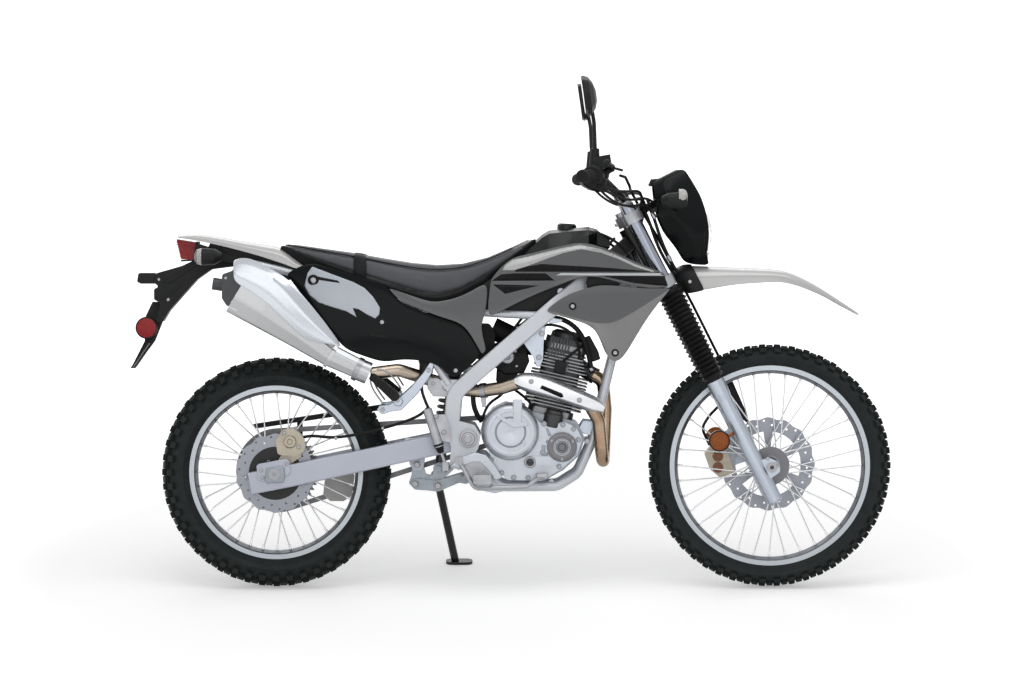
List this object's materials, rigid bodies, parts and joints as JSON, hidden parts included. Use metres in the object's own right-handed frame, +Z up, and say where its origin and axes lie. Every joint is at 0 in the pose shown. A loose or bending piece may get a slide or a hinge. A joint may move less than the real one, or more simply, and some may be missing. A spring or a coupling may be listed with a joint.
{
  "type": "dual sport motorcycle",
  "caption": "Single-cylinder dual sport motorcycle on its side stand, with turning steering, free wheels and a folding stand.",
  "frame": {"origin": "on the floor, under the centre of the whole object's box", "axes": "+X to the front of the motorcycle, +Y to the rider's left, the side that it leans to on its stand, +Z up"},
  "size_m": [2.1238, 0.8314, 1.4546],
  "materials": {
    "frame_paint": "light silver paint, satin",
    "swingarm_satin": "satin silver paint",
    "fastener_steel": "machined",
    "suspension": "satin silver and black",
    "engine_case": "die-cast light alloy, satin",
    "engine_cover": "cast, silver paint",
    "engine_fins": "cast fins, dark grey",
    "intake_rubber": "matte moulded rubber",
    "header_steel": "heat tinted stainless",
    "muffler_steel": "brushed stainless",
    "shield_steel": "polished stainless",
    "tank_black": "black, glossy",
    "panel_grey": "warm grey, satin",
    "panel_black": "black, glossy",
    "seat_vinyl": "grained charcoal vinyl",
    "fender_silver": "silver grey, satin",
    "trim_black": "matte moulded",
    "lamp_red": "moulded red lens",
    "chain_steel": "oiled steel",
    "guide_plastic": "moulded",
    "control_steel": "satin plated",
    "caliper_metal": "cast, satin",
    "clamp_alloy": "cast, satin",
    "fork_chrome": "hard chrome",
    "boot_rubber": "pleated, matte",
    "slider_alloy": "satin",
    "lens_clear": "clear moulded lens",
    "lamp_body": "matte moulded, amber and clear lenses",
    "bar_black": "satin black",
    "grip_rubber": "ribbed rubber",
    "hose_rubber": "smooth",
    "tyre": "blocked off-road tread",
    "rim_alloy": "polished",
    "hub_alloy": "satin hub, bright spokes",
    "disc_steel": "ground",
    "sprocket_steel": "zinc plated, dark",
    "stand_paint": "black paint"
  },
  "bodies": {
    "chassis": {"frame": "frame_paint", "swingarm": "swingarm_satin", "chassis_axles": "fastener_steel", "rear_suspension": "suspension", "crankcase": "engine_case", "clutch_cover": "engine_cover", "cylinder": "engine_fins", "intake": "intake_rubber", "exhaust_header": "header_steel", "muffler": "muffler_steel", "heat_shields": "shield_steel", "fuel_tank": "tank_black", "shrouds": "panel_grey", "side_covers": "panel_grey", "rear_covers": "panel_black", "seat": "seat_vinyl", "rear_fender": "fender_silver", "undertail": "trim_black", "rear_lights": "lamp_red", "chain": "chain_steel", "chain_guides": "guide_plastic", "foot_controls": "control_steel", "rear_brake": "caliper_metal"},
    "steering": {"fork_clamps": "clamp_alloy", "fork_tubes": "fork_chrome", "fork_boots": "boot_rubber", "fork_sliders": "slider_alloy", "front_axle": "fastener_steel", "front_fender": "fender_silver", "headlight_cowl": "panel_black", "headlight_lens": "lens_clear", "instrument": "trim_black", "front_lights": "lamp_body", "handlebar": "bar_black", "grips": "grip_rubber", "bar_controls": "trim_black", "front_caliper": "caliper_metal", "brake_hose": "hose_rubber"},
    "front_wheel": {"front_tyre": "tyre", "front_rim": "rim_alloy", "front_hub": "hub_alloy", "front_disc": "disc_steel"},
    "rear_wheel": {"rear_tyre": "tyre", "rear_rim": "rim_alloy", "rear_hub": "hub_alloy", "rear_disc": "disc_steel", "rear_sprocket": "sprocket_steel"},
    "side_stand": {"side_stand": "stand_paint"}
  },
  "joints": [
    {"name": "steering", "type": "hinge", "parent": "chassis", "child": "steering", "pos_m": [0.39857, -0.05288, 0.85068], "axis": [-0.4493, 0.1551, 0.8798], "range_deg": [-44, 44]},
    {"name": "front_wheel", "type": "hinge", "parent": "steering", "child": "front_wheel", "pos_m": [0.72272, -0.14354, 0.3365], "axis": [0, 0.9848, -0.1736], "continuous": true},
    {"name": "rear_wheel", "type": "hinge", "parent": "chassis", "child": "rear_wheel", "pos_m": [-0.65728, -0.1468, 0.31802], "axis": [0, 0.9848, -0.1736], "continuous": true},
    {"name": "side_stand", "type": "hinge", "parent": "chassis", "child": "side_stand", "pos_m": [-0.21133, -0.01685, 0.27183], "axis": [0.1285, 0.9444, 0.3026], "range_deg": [0, 107.01]}
  ]
}
